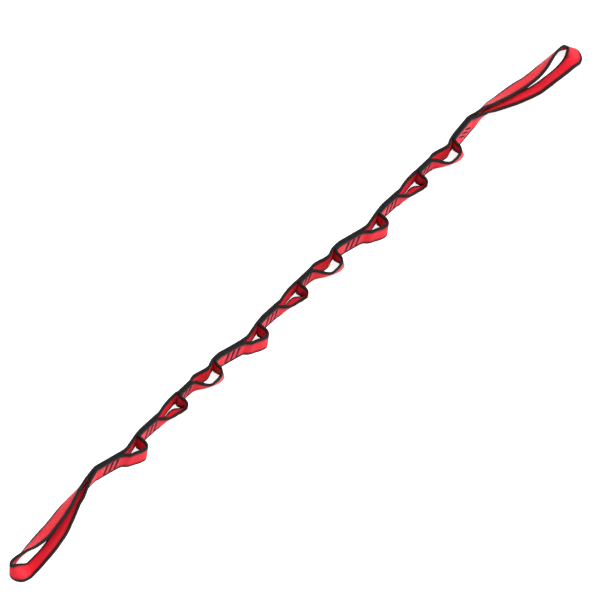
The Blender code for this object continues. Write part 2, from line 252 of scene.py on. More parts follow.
# The webbing's section: its rounding, as distances from an edge and shares of half the thickness, the
# groove beside the selvedge, and the other points of a face
ROUNDING = [(0.0, 0.0), (0.00001, 0.50), (0.00010, 0.76), (0.00030, 0.93), (0.00065, 1.0)]
GROOVE_REACH = 0.0003
GROOVE_BOTTOM = 0.965
GROOVE_SIDE = 0.99
FACE_PLACES = [0.0032, 0.0040, 0.0049, 0.0060, 0.0077]

# Slow waves of the webbing, clear of the bar tacks: their height, and how fast two of them turn in radians
# a metre
WAVE_HEIGHT = 0.00012
WAVE_TURNS = 310
WAVE_START = 1.3
SWELL_TURNS = 127
WAVE_CLEAR = 0.006

# The curl of a lower edge, in radians where it is full, and how far up the webbing it reaches
CURL_ANGLE = 1.0
LEAST_CURL = 1e-6
CURL_REACH = 0.0055

# How far from a bar tack its dip and its painted highlight, a paler and pinker colour, reach, and how
# gently they end
DIP_REACH = 0.0016
DIP_EASE = 0.003
SEWN_HIGHLIGHT_REACH = 0.0085
SEWN_HIGHLIGHT_EASE = 0.003

# How a strap is joined up, in metres, and smoothed, in degrees
MERGE_DISTANCE = 1e-6
SMOOTH_ANGLE = 50

# A stitch from side to side of a bar tack, as shares of half its width and heights, the share of the
# thread's diameter that it stands out, and how much the stitches differ in reach
STITCH = [
    (-1.0, -0.00045),
    (-0.8, -0.00008),
    (-0.4, 0.0),
    (0.0, 0.00004),
    (0.4, 0.0),
    (0.8, -0.00008),
    (1.0, -0.00045),
]
STITCH_LIFT = 0.10
JITTER = 0.06
JITTER_TURN = 2.4

# Factors that make darker and brighter colours of the webbing's and the thread's own, one of them for the
# painted shade beside a selvedge, and how far that painted shade reaches, in millimetres
DARK = 0.55
PAINTED_SHADE_FACTOR = 0.22
BRIGHT = 1.04
WORN = 3.0
PALE = 2.2
PALE_LEAST = 0.01
SHADE_REACH = 3.0

# The relief of the weave and of the thread's plies in metres, the fibres' share of it and how they are
# drawn out
WEAVE_RELIEF = 0.00012
PLY_RELIEF = 0.00005
FIBRE_SHARE = 0.5
FIBRE_STRETCH = (0.35, 7.0, 1)

# The camera: the picture's right and up in the part's frame, the point it looks at and how far it is moved
# aside from there, the width of the view in metres and of the sensor in millimetres, and how near and how
# far it sees, as shares of its distance
IMAGE_RIGHT = Vector((0.56928, -0.81202, 0.12861))
IMAGE_UP = Vector((0.53938, 0.48695, 0.68699))
IMAGE_BACK = IMAGE_RIGHT.cross(IMAGE_UP)
LOOK_AT = Vector((0.0067, -0.0024, 0.0))
SHIFT_RIGHT = 0.00133
SHIFT_UP = 0.00802
VIEW_WIDTH = 0.6045
SENSOR = 36.0
NEAR_CLIP = 0.1
FAR_CLIP = 3

# The lights' directions, as shares of the picture's right, up and back, the angle that a sun takes up in
# degrees, and the floor's own light and its distance below the part
KEY_DIRECTION = (0.55, 0.60, 0.55)
RIM_DIRECTION = (0.90, 0.35, -0.05)
SUN_ANGLE = 25
FLOOR_GLOW = 0.80
FLOOR_DROP = 0.0001


class DaisyWebbing(bpy.types.PropertyGroup):
    """The sizes and colours of the webbing"""

    width: bpy.props.FloatProperty(
        name="Width", description="Width of the webbing", default=0.0190, unit="LENGTH"
    )
    thickness: bpy.props.FloatProperty(
        name="Thickness", description="Thickness of the webbing", default=0.0028, unit="LENGTH"
    )
    selvedge: bpy.props.FloatProperty(
        name="Selvedge", description="Width of the black edges on each face", default=0.0024, unit="LENGTH"
    )
    dip: bpy.props.FloatProperty(
        name="Dip", description="How far a bar tack pulls the webbing in", default=0.00035, unit="LENGTH"
    )
    body_colour: bpy.props.FloatVectorProperty(
        name="Body colour",
        description="Colour of the webbing's middle",
        subtype="COLOR",
        default=(0.90, 0.012, 0.032),
    )
    edge_colour: bpy.props.FloatVectorProperty(
        name="Edge colour",
        description="Colour of the selvedges",
        subtype="COLOR",
        default=(0.0065, 0.0065, 0.0070),
    )
    # Painted highlight: this pinker colour between the bar tacks stands in for light caught by the puckered
    # webbing there
    sewn_highlight_colour: bpy.props.FloatVectorProperty(
        name="Sewn colour",
        description="Colour between the bar tacks",
        subtype="COLOR",
        default=(0.86, 0.055, 0.095),
    )


class DaisyThread(bpy.types.PropertyGroup):
    """The sizes, slants and colour of the bar tacks"""

    diameter: bpy.props.FloatProperty(
        name="Diameter", description="Diameter of the thread", default=0.00046, unit="LENGTH"
    )
    pitch: bpy.props.FloatProperty(
        name="Pitch", description="Distance between stitches", default=0.00040, unit="LENGTH"
    )
    bar_length: bpy.props.FloatProperty(
        name="Bar length",
        description="Length of a bar tack across the webbing",
        default=0.0128,
        unit="LENGTH",
    )
    bar_width: bpy.props.FloatProperty(
        name="Bar width", description="Width of a bar tack along the webbing", default=0.0032, unit="LENGTH"
    )
    first_bar_width: bpy.props.FloatProperty(
        name="First bar width", description="The same at the first joint", default=0.0018, unit="LENGTH"
    )
    slant: bpy.props.FloatProperty(
        name="Slant",
        description="How far a bar tack turns on the webbing",
        default=math.radians(18),
        unit="ROTATION",
    )
    first_slant: bpy.props.FloatProperty(
        name="First slant",
        description="The same at the first joint",
        default=math.radians(-60),
        unit="ROTATION",
    )
    colour: bpy.props.FloatVectorProperty(
        name="Colour", description="Colour of the thread", subtype="COLOR", default=(0.055, 0.001, 0.0035)
    )


class DaisyStage(bpy.types.PropertyGroup):
    """The floor, the strength of the lights and the lens"""

    floor_colour: bpy.props.FloatVectorProperty(
        name="Floor colour", description="Colour of the floor", subtype="COLOR", default=(0.90, 0.90, 0.90)
    )
    floor_size: bpy.props.FloatProperty(
        name="Floor size", description="Side of the square floor", default=8.0, unit="LENGTH"
    )
    soft_light: bpy.props.FloatProperty(
        name="Soft light", description="Strength of the light all round", default=0.72
    )
    key_light: bpy.props.FloatProperty(
        name="Key light", description="Strength of the light from above", default=2.0
    )
    rim_light: bpy.props.FloatProperty(
        name="Rim light", description="Strength of the light from the right", default=1.1
    )
    lens: bpy.props.FloatProperty(
        name="Lens", description="Focal length of the camera in mm", default=1650.0
    )


def along(heading):
    """The way down the chain in plan, at a heading in degrees."""
    turn = math.radians(heading)
    return np.array([-math.cos(turn), -math.sin(turn)])


def aside(heading):
    """The pocket side of that way in plan."""
    turn = math.radians(heading)
    return np.array([math.sin(turn), -math.cos(turn)])


def plan_point(place, lean=(0.0, 0.0), curl=0.0, rise=None):
    """A place in plan, the way across the webbing there, in plan and up, and the curl of its lower edge."""
    if rise is None:
        rise = math.sqrt(1 - lean[0] ** 2 - lean[1] ** 2)
    return np.array([place[0], place[1], lean[0], lean[1], rise, curl])


def hinge_places():
    """The plan places of the folds, from the upper end loop to the lower one."""
    joints = {joint["name"]: joint for joint in frame["joints"]}
    return [np.array(joints[f"fold_{number}"]["pos_m"][:2], float) for number in range(1, len(joints) + 1)]


def sewn_joints():
    """Each sewn joint's fold, heading, form and knee; the last entry is the lower end loop's fold."""
    places = hinge_places()
    joints = []
    for index, place in enumerate(places):
        form = FORMS[min(index, POCKET_COUNT) % len(FORMS)]
        heading = FIRST_HEADING if index == 0 else form["heading"]
        lead = FIRST_LEAD if index == 0 else form["lead"]
        knee = place + along(heading) * lead
        joints.append({"place": place, "heading": heading, "form": form, "knee": knee})
    return joints


def mix_between(first, second, start, end, when):
    """The mix of two points at these times, the first of them at the start and the second at the end."""
    return (first * (end - when) + second * (when - start)) / (end - start)


def curve_through(points):
    """Samples of the centripetal Catmull-Rom curve through plan points."""
    points = np.array(points)
    knots = np.vstack([points[0] * 2 - points[1], points, points[-1] * 2 - points[-2]])
    shares = np.arange(CURVE_SAMPLES)[:, None] / CURVE_SAMPLES
    samples = []
    for index in range(len(points) - 1):
        layer = list(knots[index:index + 4])
        gaps = np.sqrt(np.linalg.norm(np.diff(layer, axis=0)[:, :2], axis=1))
        times = np.concatenate([[0.0], np.cumsum(gaps)])
        when = times[1] + (times[2] - times[1]) * shares
        for reach in (1, 2):
            layer = [
                mix_between(layer[i], layer[i + 1], times[i], times[i + reach], when)
                for i in range(len(layer) - 1)
            ]
        samples.append(mix_between(layer[0], layer[1], times[1], times[2], when))
    return np.vstack(samples + [points[-1:]])


def clear_of(path, beside, facing=1.0):
    """The path, moved to one side of another so that webbing on both of them is clear, leans and all."""
    webbing = bpy.context.scene.daisy_webbing
    ways = np.gradient(beside[:, :2], axis=0)
    sides = np.stack([-ways[:, 1], ways[:, 0]], 1) * facing
    sides /= np.linalg.norm(sides, axis=1)[:, None]
    near = np.argmin(((path[:, None, :2] - beside[None, :, :2]) ** 2).sum(2), axis=1)
    side, spot = sides[near], beside[near]
    leans = [(at[:, 2:4] * side).sum(1) * np.sign(at[:, 4]) for at in (path, spot)]
    leans = np.clip(leans, -MOST_LEAN, MOST_LEAN)
    slopes = np.sqrt(1 - leans**2)
    apart = np.abs(leans[0] - leans[1])
    thick = np.where(apart > PARTING_LEAN, slopes[0], 1 / slopes[0]) + 1 / slopes[1]
    room = webbing.thickness / 2 * thick + webbing.width / 2 * apart + LEAST_GAP
    short = np.maximum(room - ((path[:, :2] - spot[:, :2]) * side).sum(1), 0)
    moved = path.copy()
    moved[:, :2] += side * short[:, None]
    return moved


def even(path):
    """The path at even steps, and how far along it they are."""
    lengths = np.concatenate([[0.0], np.cumsum(np.linalg.norm(np.diff(path[:, :2], axis=0), axis=1))])
    count = max(int(round(lengths[-1] / STEP)), 2)
    at = np.linspace(0, lengths[-1], count + 1)
    return np.stack([np.interp(at, lengths, column) for column in path.T], 1), at


def joint_lean(joint, index):
    """The lean of a joint's webbing, in plan."""
    return aside(joint["heading"]) * JOINT_LEANS[index]


def layer_point(joint, index, side, step):
    """A plan point of a layer of a joint, this far down the chain from its fold."""
    out = LAYER_OFFSET * side + JOINT_SHIFTS[index]
    place = joint["place"] + along(joint["heading"]) * step + aside(joint["heading"]) * out
    return plan_point(place, joint_lean(joint, index))


def layer_points(joint, index, side, start, end, count=JOINT_POINTS):
    """Even plan points of a layer of a joint, from one distance down the chain to another."""
    return [layer_point(joint, index, side, step) for step in np.linspace(start, end, count)]


def link_path(joints, index, side):
    """The path of a strap from the middle of a joint, along its pocket, to the middle of the next joint."""
    joint, following = joints[index], joints[index + 1]
    form = joint["form"]
    first = layer_points(joint, index, side, MIDDLE_BAR, SEWN_LENGTH)
    points = [first[-2], first[-1]]
    if side < 0:
        bend = along(joint["heading"]) * BEFORE_KNEE + aside(joint["heading"]) * LAYER_OFFSET
        points.append(plan_point(joint["knee"] - bend, joint_lean(joint, index)))
        shares = [(*place, 0.0, 0.0, 0.0) for place in form["back"]]
        meets = 0.0
    else:
        shares = form["pocket"]
        meets = form["meets"]
    for down, out, lean_down, lean_out, curl in shares:
        place = joint["knee"] + along(0) * down * form["span"] + aside(0) * out * POCKET_DEPTH
        kept = max(1 - down * form["span"] / LEAN_EASE, 0.0) ** 2
        lean = along(0) * lean_down + aside(0) * lean_out + joint_lean(joint, index) * kept
        points.append(plan_point(place, lean, curl))
    last = layer_points(following, index + 1, side, meets, MIDDLE_BAR)
    points += [last[0], last[1]]
    curved = curve_through(points)[CURVE_SAMPLES:-CURVE_SAMPLES]
    if side > 0:
        curved = clear_of(curved, link_path(joints, index, -1))
    return np.vstack([first[:-1], curved, last])


def loop_path(joints, shares, outward):
    """The path of an end loop, from the middle of its sewn joint, out and round and back to there."""
    if outward < 0:
        index, fold = 0, joints[0]
        end, count = -UPPER_STRAIGHT, UPPER_ARM_POINTS
    else:
        index, fold = len(joints) - 2, joints[-1]
        end = np.linalg.norm(fold["place"] - joints[index]["place"]) + LOWER_STRAIGHT
        count = LOWER_ARM_POINTS
    arm = {side: layer_points(joints[index], index, side, MIDDLE_BAR, end, count) for side in (-1, 1)}
    for point in arm[1]:
        point[2:5] *= -1
    middle = []
    for out, across, lean_out, lean_aside, rise in shares:
        place = fold["place"] + np.array([-outward * out * LOOP_LENGTH, -across * LOOP_BREADTH])
        middle.append(plan_point(place, (-outward * lean_out, -lean_aside), rise=rise))
    points = arm[-1][-2:] + middle + arm[1][:-3:-1]
    curved = curve_through(points)[CURVE_SAMPLES:-CURVE_SAMPLES]
    far = np.linalg.norm(curved[:, :2] - fold["place"], axis=1) > LOOP_LENGTH / 2
    first_far = np.argmax(far)
    past_far = len(far) - np.argmax(far[::-1])
    curved[past_far:] = clear_of(curved[past_far:], curved[:first_far], outward)
    return np.vstack([arm[-1][:-1], curved, arm[1][::-1][1:]])


def frames_of(path):
    """The middle of the webbing at each station, the way across it and the way out of it, set on z = 0."""
    webbing = bpy.context.scene.daisy_webbing
    up = path[:, 2:5] / np.linalg.norm(path[:, 2:5], axis=1)[:, None]
    way = np.column_stack([np.gradient(path[:, :2], axis=0), np.zeros(len(path))])
    out = np.cross(up, way)
    out /= np.linalg.norm(out, axis=1)[:, None]
    height = webbing.width / 2 * np.abs(up[:, 2]) + webbing.thickness / 2 * np.abs(out[:, 2])
    return np.column_stack([path[:, :2], height]), up, out


def section():
    """The closed section of the webbing: its places across, from the lower edge, and out from the middle,
    and how far round a face they are from the lower edge."""
    webbing = bpy.context.scene.daisy_webbing
    groove = [
        (webbing.selvedge - GROOVE_REACH, 1.0),
        (webbing.selvedge, GROOVE_BOTTOM),
        (webbing.selvedge + GROOVE_REACH, GROOVE_SIDE),
    ]
    half = ROUNDING + groove + [(place, 1.0) for place in FACE_PLACES]
    upper_half = [(webbing.width - place, share) for place, share in half[::-1]]
    face = half + [(webbing.width / 2, 1.0)] + upper_half
    across = np.array([place for place, share in face])
    out = np.array([share for place, share in face]) * webbing.thickness / 2
    girth = np.concatenate([[0.0], np.cumsum(np.hypot(np.diff(across), np.diff(out)))])
    return (
        np.concatenate([across, across[-2::-1]]),
        np.concatenate([out, -out[-2::-1]]),
        np.concatenate([girth, girth[-2::-1]]),
    )


def webbing_points(stations, lengths, nearest, across, depth):
    """The points of the section at each station: dipped at bar tacks, waved, curled in and set on z = 0."""
    webbing = bpy.context.scene.daisy_webbing
    middle, up, out = frames_of(stations)
    rise = across - webbing.width / 2
    pull = np.exp(-((nearest / DIP_REACH) ** 2)) * webbing.dip
    held = np.clip((webbing.width / 2 - np.abs(rise)) / DIP_EASE, 0, 1)
    wave = np.sin(lengths * WAVE_TURNS + WAVE_START) * np.sin(lengths * SWELL_TURNS) * WAVE_HEIGHT
    wave *= nearest > WAVE_CLEAR
    out_at = depth * (1 - pull[:, None] / (webbing.thickness / 2) * held) + wave[:, None]
    turn = np.maximum(stations[:, 5], LEAST_CURL)[:, None] * CURL_ANGLE
    curled = np.clip(1 - across / CURL_REACH, 0, 1)
    high = rise + CURL_REACH * (curled - np.sin(turn * curled) / turn) - out_at * np.sin(turn * curled)
    forth = out_at * np.cos(turn * curled) - CURL_REACH * (1 - np.cos(turn * curled)) / turn
    points = middle[:, None] + up[:, None] * high[..., None] + out[:, None] * forth[..., None]
    points[..., 2] -= points[..., 2].min(axis=1, keepdims=True)
    return points


def deselect():
    """Deselect everything, so that the next operator acts on nothing made before."""
    bpy.ops.object.select_all(action="DESELECT")


def add_sheet(name, points):
    """A grid with its vertices moved to these points, and the row and column of each vertex."""
    rows, columns = points.shape[:2]
    deselect()
    bpy.ops.mesh.primitive_grid_add(x_subdivisions=rows - 1, y_subdivisions=columns - 1, size=1)
    sheet = bpy.context.object
    sheet.name = sheet.data.name = name
    flat = np.empty(rows * columns * 3)
    sheet.data.vertices.foreach_get("co", flat)
    flat = flat.reshape(-1, 3) + 0.5
    row = np.rint(flat[:, 0] * (rows - 1)).astype(int)
    column = np.rint(flat[:, 1] * (columns - 1)).astype(int)
    sheet.data.vertices.foreach_set("co", points[row, column].ravel())
    return sheet, row, column


def close_sheet():
    """Join the long edges of the new sheet, close its ends and smooth it."""
    bpy.ops.object.mode_set(mode="EDIT")
    bpy.ops.mesh.select_all(action="SELECT")
    bpy.ops.mesh.remove_doubles(threshold=MERGE_DISTANCE)
    bpy.ops.mesh.fill_holes(sides=0)
    bpy.ops.mesh.select_all(action="SELECT")
    bpy.ops.mesh.normals_make_consistent(inside=False)
    bpy.ops.object.mode_set(mode="OBJECT")
    bpy.ops.object.shade_smooth_by_angle(angle=math.radians(SMOOTH_ANGLE))


def colour_strap(mesh, edge, girth):
    """Make the webbing red, and black less than this far round from the middle of an edge."""
    mesh.materials.append(shared_material("red_webbing", red_webbing))
    mesh.materials.append(shared_material("black_selvedge", black_selvedge))
    places = np.empty(len(mesh.loops) * 2)
    mesh.uv_layers["strap"].data.foreach_get("uv", places)
    heights = places.reshape(-1, 2)[:, 1]
    from_edge = np.empty(len(mesh.polygons))
    for number, face in enumerate(mesh.polygons):
        height = heights[face.loop_start:face.loop_start + face.loop_total].mean()
        from_edge[number] = min(height, girth - height)
    mesh.polygons.foreach_set("material_index", (from_edge < edge).astype(np.int32))


def shape_strap(name, path, bars):
    """A strap along a path, made from a grid that is bent round into the webbing's closed section."""
    stations, lengths = even(path)
    nearest = np.min([np.linalg.norm(stations[:, :2] - bar, axis=1) for bar in bars], axis=0)
    across, depth, girth = section()
    strap, row, column = add_sheet(name, webbing_points(stations, lengths, nearest, across, depth))
    mesh = strap.data
    drawn = mesh.uv_layers.active
    drawn.name = "strap"
    corners = np.empty(len(mesh.loops), int)
    mesh.loops.foreach_get("vertex_index", corners)
    drawn.data.foreach_set("uv", np.column_stack([lengths[row[corners]], girth[column[corners]]]).ravel())
    # The share of painted highlight near the bar tacks, for the red material
    sewn = mesh.attributes.new("sewn", "FLOAT", "POINT")
    near = np.clip((SEWN_HIGHLIGHT_REACH - nearest[row]) / SEWN_HIGHLIGHT_EASE, 0, 1)
    sewn.data.foreach_set("value", near.astype(np.float32))
    close_sheet()
    selvedge = bpy.context.scene.daisy_webbing.selvedge
    colour_strap(mesh, girth[np.argmin(np.abs(across - selvedge))], girth.max())
    return strap


def all_bars(joints):
    """The plan places of every bar tack, on both layers."""
    return [
        layer_point(joint, index, side, FIRST_BAR + BAR_PITCH * bar)[:2]
        for index, joint in enumerate(joints[:-1])
        for bar in range(BAR_COUNT)
        for side in (-1, 1)
    ]


def bend_over(strap):
    """Set the strap's place into its mesh."""
    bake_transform(strap)


def set_inputs(tree, node, inputs):
    """Set a node's inputs to values, or link sockets to them."""
    for key, value in inputs.items():
        if isinstance(value, bpy.types.NodeSocket):
            tree.links.new(value, node.inputs[key])
        else:
            node.inputs[key].default_value = value


def add_node(tree, kind, inputs=(), **settings):
    """A new node with its settings and its inputs."""
    node = tree.nodes.new("ShaderNode" + kind)
    for name, value in settings.items():
        setattr(node, name, value)
    set_inputs(tree, node, dict(inputs))
    return node


def calculate(tree, operation, *values):
    """The result of a Math node on these values."""
    return add_node(tree, "Math", dict(enumerate(values)), operation=operation).outputs[0]


def ramp(tree, value, low=0.0, high=1.0, start=0.0, end=1.0):
    """A value that runs evenly from start to end while another runs from low to high."""
    inputs = {"Value": value, "From Min": low, "From Max": high, "To Min": start, "To Max": end}
    return add_node(tree, "MapRange", inputs, clamp=True).outputs[0]


def blend_colours(tree, share, first, second):
    """The colour that lies this share of the way from the first to the second."""
    node = add_node(tree, "Mix", data_type="RGBA")
    for key, value in (("Factor", share), ("A", first), ("B", second)):
        socket = [found for found in node.inputs if found.name == key and found.enabled][0]
        if isinstance(value, bpy.types.NodeSocket):
            tree.links.new(value, socket)
        else:
            socket.default_value = (*value, 1)
    return [found for found in node.outputs if found.enabled][0]


def scaled_colour(colour, factor, added=0.0):
    """A colour made darker or brighter."""
    return [min(channel * factor + added, 1.0) for channel in colour]


def shared_material(name, looks):
    """The material of this name, made when it is first asked for. Its looks give the shader's inputs."""
    found = bpy.data.materials.get(name)
    if found:
        return found
    material = bpy.data.materials.new(name)
    material.use_nodes = True
    tree = material.node_tree
    set_inputs(tree, tree.nodes["Principled BSDF"], looks(tree))
    return material


def strap_place(tree):
    """The place on a strap in millimetres: along it, and round the face from its lower edge."""
    place = add_node(tree, "UVMap", uv_map="strap").outputs["UV"]
    scale = {0: place, 1: (MILLIMETRES, MILLIMETRES, MILLIMETRES)}
    return add_node(tree, "VectorMath", scale, operation="MULTIPLY").outputs[0]


def weave(tree, place, length, row, gap):
    """The webbing's weave: the grooves round floats of this length and height, fibres and slow patches."""
    inputs = {
        "Vector": place,
        "Color1": (0, 0, 0, 1),
        "Color2": (1, 1, 1, 1),
        "Scale": 1.0,
        "Mortar Size": gap,
        "Mortar Smooth": 1.0,
        "Brick Width": length,
        "Row Height": row,
    }
    groove = add_node(tree, "TexBrick", inputs, offset=0.5).outputs["Fac"]
    drawn_out = add_node(tree, "VectorMath", {0: place, 1: FIBRE_STRETCH}, operation="MULTIPLY").outputs[0]
    fibre = add_node(tree, "TexNoise", {"Vector": drawn_out, "Scale": 1.0, "Detail": 3.0}).outputs[0]
    patch = add_node(tree, "TexNoise", {"Vector": place, "Scale": 0.16, "Detail": 2.0}).outputs[0]
    return groove, fibre, patch


def relief(tree, groove, fibre, strength):
    """The normal of a weave, with its floats raised over its grooves and its fibres showing."""
    ridge = calculate(tree, "MULTIPLY_ADD", fibre, FIBRE_SHARE, calculate(tree, "SUBTRACT", 1.0, groove))
    bump = {"Strength": strength, "Distance": WEAVE_RELIEF, "Height": ridge}
    return add_node(tree, "Bump", bump).outputs[0]


def red_webbing(tree):
    """The red middle of the webbing, with painted shade beside the selvedges and a pinker painted highlight
    where it is sewn.
    """
    webbing = bpy.context.scene.daisy_webbing
    place = strap_place(tree)
    groove, fibre, patch = weave(tree, place, length=1.5, row=0.62, gap=0.16)
    dark = scaled_colour(webbing.body_colour, DARK)
    painted_shade = scaled_colour(webbing.body_colour, PAINTED_SHADE_FACTOR)
    bright = scaled_colour(webbing.body_colour, BRIGHT)
    red = blend_colours(tree, ramp(tree, patch, low=0.3, high=0.7), webbing.body_colour, bright)
    # Painted highlight: the red turns pinker between the bar tacks, where the puckered webbing catches the
    # light
    sewn = add_node(tree, "Attribute", attribute_name="sewn").outputs["Fac"]
    red = blend_colours(tree, ramp(tree, sewn, end=0.8), red, webbing.sewn_highlight_colour)
    red = blend_colours(tree, ramp(tree, groove, end=0.5), red, dark)
    red = blend_colours(tree, ramp(tree, fibre, low=0.35, high=0.75, end=0.28), red, dark)

    # Painted shade: the red runs darker towards each selvedge, up to SHADE_REACH millimetres in from its
    # edge
    half = section()[2].max() / 2 * MILLIMETRES
    rim = half + (webbing.selvedge - webbing.width / 2) * MILLIMETRES
    height = add_node(tree, "SeparateXYZ", {0: place}).outputs[1]
    from_middle = calculate(tree, "ABSOLUTE", calculate(tree, "SUBTRACT", height, half))
    from_edge = calculate(tree, "SUBTRACT", half, from_middle)
    beside = ramp(tree, from_edge, low=rim, high=rim + SHADE_REACH, start=0.8, end=0.0)
    return {
        "Base Color": blend_colours(tree, beside, red, painted_shade),
        "Roughness": ramp(tree, groove, start=0.45, end=0.67),
        "Normal": relief(tree, groove, fibre, strength=0.55),
        "Sheen Weight": 0.11,
        "Sheen Roughness": 0.25,
        "Sheen Tint": (1.0, 0.40, 0.50, 1),
        "Specular IOR Level": 0.22,
    }


def black_selvedge(tree):
    """The black edges of the webbing, more finely woven, greyer where they are worn."""
    edge = bpy.context.scene.daisy_webbing.edge_colour
    groove, fibre, patch = weave(tree, strap_place(tree), length=0.95, row=0.42, gap=0.07)
    worn = blend_colours(tree, ramp(tree, fibre, low=0.45, high=0.8), edge, scaled_colour(edge, WORN))
    share = ramp(tree, patch, low=0.35, high=0.7, start=0.15, end=0.7)
    return {
        "Base Color": blend_colours(tree, share, edge, worn),
        "Roughness": ramp(tree, groove, start=0.62, end=0.82),
        "Normal": relief(tree, groove, fibre, strength=0.35),
        "Specular IOR Level": 0.16,
    }


def bar_tack_thread(tree):
    """Thread with a slight shine, finely banded across its plies."""
    colour = bpy.context.scene.daisy_thread.colour
    place = add_node(tree, "TexCoord").outputs["Object"]
    bands = {"Vector": place, "Scale": 1400.0, "Distortion": 1.5}
    plies = add_node(tree, "TexWave", bands, bands_direction="DIAGONAL").outputs[1]
    patch = add_node(tree, "TexNoise", {"Vector": place, "Scale": 900.0, "Detail": 2.0}).outputs[0]
    pale = scaled_colour(colour, PALE, PALE_LEAST)
    bump = {"Strength": 0.4, "Distance": PLY_RELIEF, "Height": plies}
    return {
        "Base Color": blend_colours(tree, ramp(tree, patch, low=0.35, high=0.75, end=0.6), colour, pale),
        "Roughness": ramp(tree, patch, low=0.3, high=0.7, start=0.38, end=0.55),
        "Normal": add_node(tree, "Bump", bump).outputs[0],
        "Specular IOR Level": 0.2,
    }


def bar_route(width):
    """The thread of a bar tack on one face: satin stitches to and fro over the bar's width."""
    thread = bpy.context.scene.daisy_thread
    top = LAYER_OFFSET + bpy.context.scene.daisy_webbing.thickness / 2 + thread.diameter * STITCH_LIFT
    points = []
    for row in range(int(thread.bar_length / thread.pitch)):
        swing = STITCH if row % 2 == 0 else STITCH[::-1]
        reach = width / 2 * (1 + JITTER * math.sin(row * JITTER_TURN))
        for step, (share, height) in enumerate(swing):
            rise = -thread.bar_length / 2 + (row + step / len(swing)) * thread.pitch
            points.append((share * reach, top + height, rise))
    return points


def shape_bar(name, matrix, width):
    """A bar tack on both faces of a joint."""
    deselect()
    bpy.ops.curve.primitive_nurbs_path_add(location=(0, 0, 0))
    bar = bpy.context.object
    bar.name = bar.data.name = name
    curve = bar.data
    curve.splines.clear()
    route = bar_route(width)
    for facing in (1, -1):
        spline = curve.splines.new("POLY")
        spline.points.add(len(route) - 1)
        for point, (x, y, z) in zip(spline.points, route):
            point.co = (x * facing, y * facing, z, 1)
    curve.bevel_depth = bpy.context.scene.daisy_thread.diameter / 2
    curve.bevel_resolution = 1
    curve.use_fill_caps = True
    bpy.ops.object.convert(target="MESH")
    bar = bpy.context.object
    bar.data.transform(matrix)
    bar.matrix_world = Matrix.Identity(4)
    bpy.ops.object.shade_smooth()
    bar.data.materials.clear()
    bar.data.materials.append(shared_material("bar_tack_thread", bar_tack_thread))
    return bar


def bar_place(joint, index, bar):
    """The matrix of a bar tack: along the joint, out of its pocket side and across the webbing."""
    step = FIRST_BAR + BAR_PITCH * bar
    path = np.array([layer_point(joint, index, 0, step + shift) for shift in (-STEP, 0, STEP)])
    middle, up, out = [stations[1] for stations in frames_of(path)]
    matrix = Matrix((np.cross(out, up), out, up)).transposed().to_4x4()
    matrix.translation = Vector(middle)
    return matrix


def shape_link(name, joints, index, side):
    """The strap of one layer from a joint to the next."""
    strap = shape_strap(name, link_path(joints, index, side), all_bars(joints))
    bend_over(strap)
    return strap


class DAISY_OT_end_loops(bpy.types.Operator):
    """Add the webbing of both end loops"""

    bl_idname = "daisy.end_loops"
    bl_label = "Add End Loops"

    def execute(self, context):
        joints = sewn_joints()
        upper = shape_strap("upper_end_webbing", loop_path(joints, UPPER_LOOP, -1), all_bars(joints))
        bend_over(upper)
        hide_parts("upper_end_loop")
        lower = shape_strap("lower_end_webbing", loop_path(joints, LOWER_LOOP, 1), all_bars(joints))
        bend_over(lower)
        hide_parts("lower_end_loop", "spine_strap_10", "pocket_strap_10")
        return {"FINISHED"}


class DAISY_OT_back_straps(bpy.types.Operator):
    """Add the back webbing, from joint to joint"""

    bl_idname = "daisy.back_straps"
    bl_label = "Add Back Straps"

    def execute(self, context):
        joints = sewn_joints()
        for index in range(POCKET_COUNT):
            strap = shape_link(f"back_webbing_{index + 1}", joints, index, -1)
            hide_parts(f"spine_strap_{index + 1}")
        return {"FINISHED"}


class DAISY_OT_pocket_straps(bpy.types.Operator):
    """Add the pocket webbing, from joint to joint"""

    bl_idname = "daisy.pocket_straps"
    bl_label = "Add Pocket Straps"

    def execute(self, context):
        joints = sewn_joints()
        for index in range(POCKET_COUNT):
            strap = shape_link(f"pocket_webbing_{index + 1}", joints, index, 1)
            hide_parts(f"pocket_strap_{index + 1}")
        return {"FINISHED"}


class DAISY_OT_bar_tacks(bpy.types.Operator):
    """Add the bar tacks that hold each joint"""

    bl_idname = "daisy.bar_tacks"
    bl_label = "Add Bar Tacks"

    def execute(self, context):
        joints = sewn_joints()
        thread = bpy.context.scene.daisy_thread
        for index, joint in enumerate(joints[:-1]):
            slant = thread.slant if index else thread.first_slant
            width = thread.bar_width if index else thread.first_bar_width
            turn = Matrix.Rotation(-slant, 4, "Y")
            for bar in range(BAR_COUNT):
                name = f"bar_tack_thread_{index + 1}{'abc'[bar]}"
                piece = shape_bar(name, bar_place(joint, index, bar) @ turn, width)
                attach(piece, f"link_{index + 1}")
                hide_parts(f"bar_tack_{index + 1}{'abc'[bar]}")
        return {"FINISHED"}


def floor_material(colour):
    """A floor that shows white to the camera and keeps the object's shadow."""
    material = bpy.data.materials.new("floor")
    material.use_nodes = True
    tree = material.node_tree
    tree.nodes.clear()
    seen = add_node(tree, "LightPath").outputs["Is Camera Ray"]
    matt = add_node(tree, "BsdfDiffuse", {"Color": (*colour, 1)}).outputs[0]
    glow = add_node(tree, "Emission", {"Color": (1, 1, 1, 1), "Strength": FLOOR_GLOW}).outputs[0]
    both = add_node(tree, "AddShader", {0: matt, 1: glow}).outputs[0]
    surface = add_node(tree, "MixShader", {0: seen, 1: matt, 2: both}).outputs[0]
    add_node(tree, "OutputMaterial", {"Surface": surface})
    return material


def add_floor(stage):
    """The floor under the part."""
    deselect()
    bpy.ops.mesh.primitive_plane_add(size=stage.floor_size, location=(0, 0, -FLOOR_DROP))
    floor = bpy.context.object
    floor.name = "floor"
    floor.data.materials.append(floor_material(stage.floor_colour))


